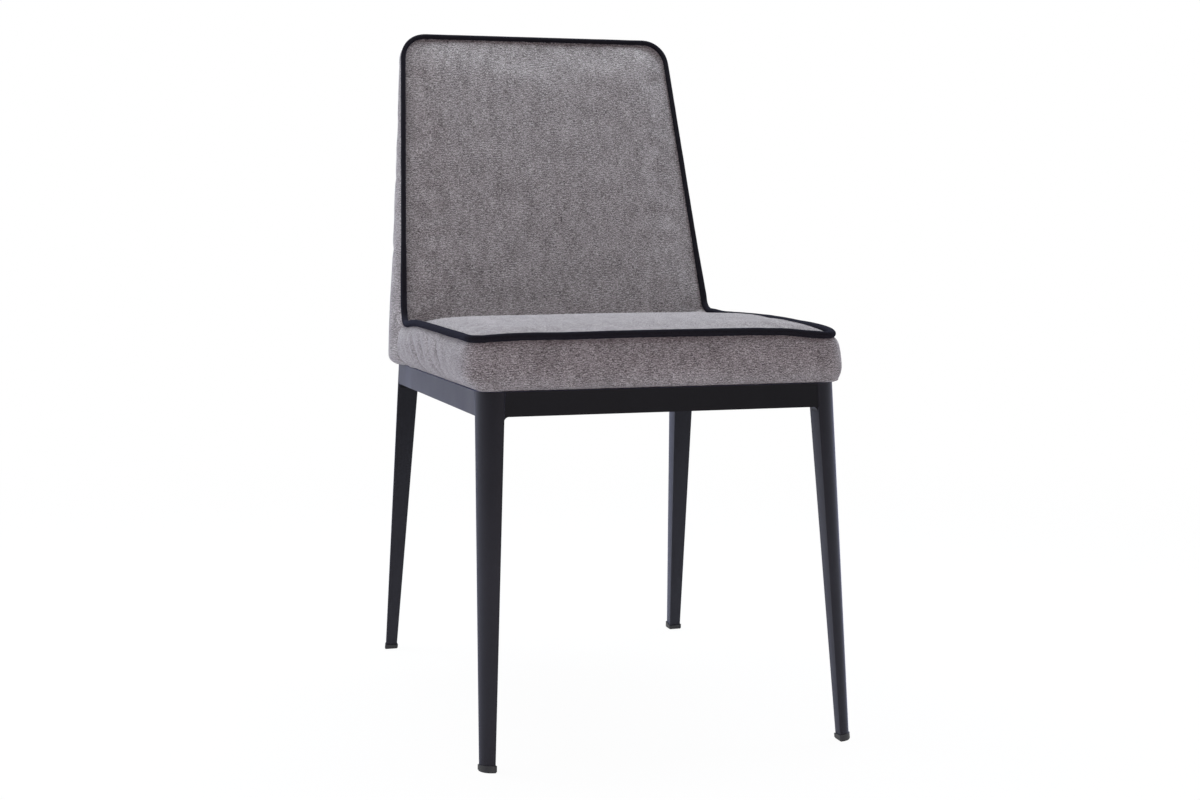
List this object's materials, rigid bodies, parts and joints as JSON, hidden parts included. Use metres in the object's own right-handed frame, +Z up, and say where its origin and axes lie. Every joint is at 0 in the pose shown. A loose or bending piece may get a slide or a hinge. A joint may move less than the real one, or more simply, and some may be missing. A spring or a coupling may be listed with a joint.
{
  "type": "dining chair",
  "caption": "Armless dining chair with a boxed, piped fabric seat and a tall reclined back on a slim black steel frame with tapered splayed legs.",
  "frame": {"origin": "on the floor under the middle of the chair's outline", "axes": "+Z up; +Y towards the back, the sitter faces -Y; +X towards the right of the picture, which is the sitter's left"},
  "size_m": [0.4674, 0.6349, 0.8699],
  "materials": {
    "powder_coated_steel": "fine matt black powder coat",
    "glide_plastic": "moulded black",
    "plywood": "sanded, unfinished",
    "beech": "planed, unfinished",
    "foam": "cut foam",
    "velvet": "brushed taupe-grey chenille velvet",
    "piping_satin": "satin weave",
    "dust_cover_felt": "non-woven felt",
    "webbing": "woven strap",
    "zinc_plated_steel": "zinc plated"
  },
  "bodies": {
    "root": {"front_left_leg": "powder_coated_steel", "front_right_leg": "powder_coated_steel", "rear_left_leg": "powder_coated_steel", "rear_right_leg": "powder_coated_steel", "front_rail": "powder_coated_steel", "rear_rail": "powder_coated_steel", "left_rail": "powder_coated_steel", "right_rail": "powder_coated_steel", "weld_fillets": "powder_coated_steel", "front_left_plate": "powder_coated_steel", "front_right_plate": "powder_coated_steel", "rear_left_plate": "powder_coated_steel", "rear_right_plate": "powder_coated_steel", "front_left_glide": "glide_plastic", "front_right_glide": "glide_plastic", "rear_left_glide": "glide_plastic", "rear_right_glide": "glide_plastic", "seat_board": "plywood", "seat_foam": "foam", "seat_top_panel": "velvet", "seat_border": "velvet", "seat_dust_cover": "dust_cover_felt", "left_back_stile": "beech", "right_back_stile": "beech", "back_top_rail": "beech", "back_lumbar_rail": "beech", "back_bottom_rail": "beech", "back_webbing": "webbing", "back_foam": "foam", "back_front_panel": "velvet", "back_border": "velvet", "back_rear_wadding": "foam", "back_rear_panel": "velvet", "piping": "piping_satin", "left_back_bracket": "zinc_plated_steel", "right_back_bracket": "zinc_plated_steel", "bracket_screws": "zinc_plated_steel", "seat_bolts": "zinc_plated_steel", "seat_washers": "zinc_plated_steel", "tee_nuts": "zinc_plated_steel"}
  },
  "joints": []
}
